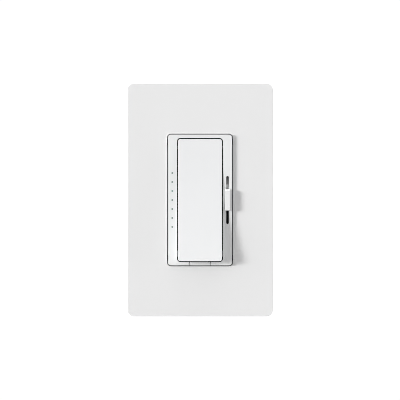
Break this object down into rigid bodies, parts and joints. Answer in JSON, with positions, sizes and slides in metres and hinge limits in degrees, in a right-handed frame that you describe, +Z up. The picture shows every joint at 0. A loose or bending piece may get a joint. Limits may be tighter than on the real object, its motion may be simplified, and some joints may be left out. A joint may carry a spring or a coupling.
{
  "type": "dimmer slide switch",
  "caption": "Wall dimmer with a tall push paddle, side fader, row of level lights, pull-out service tab and clip-on screwless cover plate, on a flush back housing.",
  "frame": {"origin": "centre of the two box screws, in the plane of the wall", "axes": "+Z up along the cover plate, +Y into the wall box, +X to the right as seen from the room"},
  "size_m": [0.0746, 0.0432, 0.1194],
  "materials": {
    "white_gloss": "smooth moulded, low gloss",
    "white_satin": "smooth moulded, satin",
    "white_paddle": "smooth moulded, satin",
    "white_knob": "smooth moulded",
    "adapter_plastic": "moulded",
    "clear_lens": "frosted light pipe",
    "black_plastic": "fine moulded texture",
    "plunger_plastic": "moulded",
    "yoke_aluminium": "stamped, lightly brushed",
    "zinc_screw": "zinc plated",
    "pin_steel": "drawn wire",
    "brass_terminal": "stamped",
    "green_screw": "green chromate",
    "contact_copper": "rolled copper",
    "board_green": "solder resist",
    "led_body": "moulded",
    "chip_black": "moulded",
    "carbon_track": "printed carbon",
    "shutter_grey": "moulded strip",
    "insulator_film": "film",
    "ferrite": "coated",
    "capacitor_yellow": "moulded",
    "can_sleeve": "shrink sleeve",
    "disc_blue": "dipped",
    "fuse_body": "ceramic"
  },
  "bodies": {
    "dimmer_frame": {"cover_plate": "white_gloss", "front_bezel": "white_satin", "cover_adapter": "adapter_plastic", "level_light_pipe": "clear_lens", "back_housing": "black_plastic", "tact_switch_body": "black_plastic", "board_header": "black_plastic", "mounting_yoke": "yoke_aluminium", "box_screws": "zinc_screw", "adapter_screws": "zinc_screw", "case_screws": "zinc_screw", "paddle_hinge_pin": "pin_steel", "paddle_return_spring": "pin_steel", "line_terminal": "brass_terminal", "load_terminal": "brass_terminal", "traveler_terminal": "brass_terminal", "line_screw": "brass_terminal", "load_screw": "brass_terminal", "traveler_screw": "brass_terminal", "ground_screw": "green_screw", "air_gap_post": "contact_copper", "air_gap_contact": "contact_copper", "choke_winding": "contact_copper", "control_board": "board_green", "power_board": "board_green", "indicator_leds": "led_body", "control_chips": "chip_black", "power_transistors": "chip_black", "fader_track": "carbon_track", "insulator_sheet": "insulator_film", "choke_core": "ferrite", "film_capacitor": "capacitor_yellow", "bulk_capacitor": "can_sleeve", "surge_disc": "disc_blue", "fuse_link": "fuse_body"},
    "paddle": {"paddle": "white_paddle"},
    "tact_plunger": {"tact_plunger": "plunger_plastic"},
    "fader": {"fader_knob": "white_knob", "fader_carriage": "black_plastic", "fader_wiper": "contact_copper", "fader_shutter": "shutter_grey"},
    "service_tab": {"service_tab": "white_satin"},
    "air_gap_blade": {"air_gap_blade": "contact_copper"}
  },
  "joints": [
    {"name": "paddle_press", "type": "hinge", "parent": "dimmer_frame", "child": "paddle", "pos_m": [0, -0.005, 0.027], "axis": [1, 0, 0], "range_deg": [0, 1.5], "stiffness_Nm_per_rad": 4, "springref_deg": -1.15, "deforming": ["paddle_return_spring"]},
    {"name": "tact_plunger_slide", "type": "slide", "parent": "dimmer_frame", "child": "tact_plunger", "axis": [0, 1, 0], "range_m": [0, 0.0006]},
    {"name": "fader_slide", "type": "slide", "parent": "dimmer_frame", "child": "fader", "axis": [0, 0, 1], "range_m": [-0.01, 0.01]},
    {"name": "service_tab_pull", "type": "slide", "parent": "dimmer_frame", "child": "service_tab", "axis": [0, -1, 0], "range_m": [0, 0.003]},
    {"name": "air_gap_blade_swing", "type": "hinge", "parent": "dimmer_frame", "child": "air_gap_blade", "pos_m": [-0.012, 0.0044, -0.031], "axis": [0, 0, -1], "range_deg": [0, 18]}
  ],
  "couplings": [
    {"joint": "tact_plunger_slide", "follows": "paddle_press", "m_per_rad": 0.02},
    {"joint": "air_gap_blade_swing", "follows": "service_tab_pull", "rad_per_m": 102}
  ]
}
